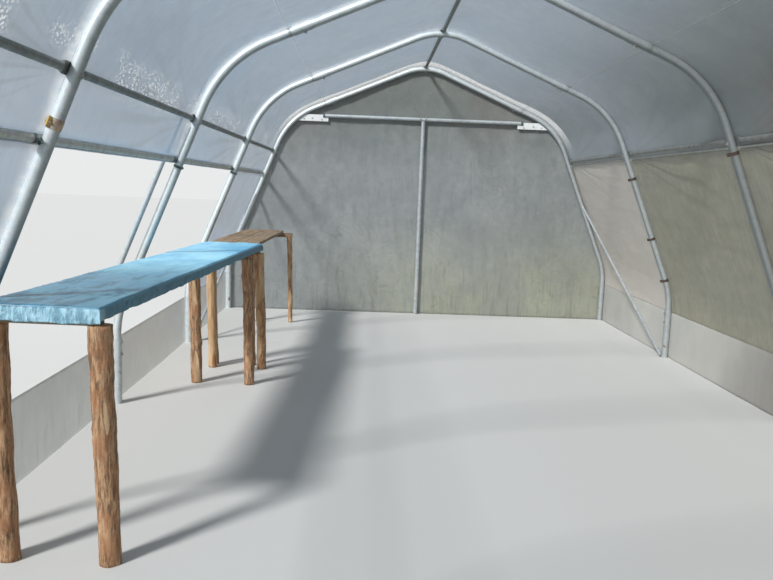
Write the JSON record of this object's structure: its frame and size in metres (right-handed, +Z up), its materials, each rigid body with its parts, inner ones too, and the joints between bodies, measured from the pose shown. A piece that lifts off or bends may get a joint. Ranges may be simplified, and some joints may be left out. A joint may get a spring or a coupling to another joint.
{
  "type": "polytunnel greenhouse",
  "caption": "Polytunnel greenhouse of bent steel hoops under clear film, with film end walls, one opened side and slatted benches on poles.",
  "frame": {"origin": "on the ground, in the middle of the floor plan", "axes": "+Y along the tunnel towards the closed far end, +Z up, +X towards the closed side"},
  "size_m": [4.427, 10.07, 2.7946],
  "materials": {
    "galvanised_tube": "dull galvanised steel tube, stained and rusty in places",
    "grey_tube": "weathered grey steel tube",
    "film": "translucent greenhouse film, milky with age, algae and condensation",
    "skirt_film": "pale grey ground skirt film",
    "wire": "dull galvanised straining wire",
    "white_plate": "white coated plate",
    "batten": "mill aluminium clamping strip",
    "bark_pole": "round pole with part of its bark on",
    "board": "rough sawn weathered board",
    "blue_sheet": "pale blue plastic sheet with a folded hem"
  },
  "bodies": {
    "root": {"hoop_1": "galvanised_tube", "hoop_2": "galvanised_tube", "hoop_3": "galvanised_tube", "hoop_4": "galvanised_tube", "hoop_5": "galvanised_tube", "hoop_6": "galvanised_tube", "left_foot_tubes": "galvanised_tube", "right_foot_tubes": "galvanised_tube", "left_rail": "grey_tube", "guide_tube": "grey_tube", "left_purlin": "grey_tube", "right_purlin": "grey_tube", "ridge_purlin": "grey_tube", "far_cross_bar": "grey_tube", "near_cross_bar": "grey_tube", "far_centre_post": "grey_tube", "door_posts": "grey_tube", "far_braces": "grey_tube", "near_braces": "grey_tube", "roof_cover": "film", "right_side_film": "film", "left_side_film_far": "film", "left_side_film_near": "film", "far_wall_film": "film", "near_wall_film_left": "film", "near_wall_film_right": "film", "near_wall_film_top": "film", "left_skirt": "skirt_film", "right_skirt": "skirt_film", "left_roof_wire": "wire", "right_roof_wire": "wire", "far_gussets": "white_plate", "near_gussets": "white_plate", "far_clamp_batten": "batten", "near_clamp_batten": "batten", "bench_poles": "bark_pole", "second_bench_poles": "bark_pole", "bench_boards": "board", "bench_bearers": "board", "second_bench_boards": "board", "second_bench_bearers": "board", "bench_sheet": "blue_sheet"}
  },
  "joints": []
}
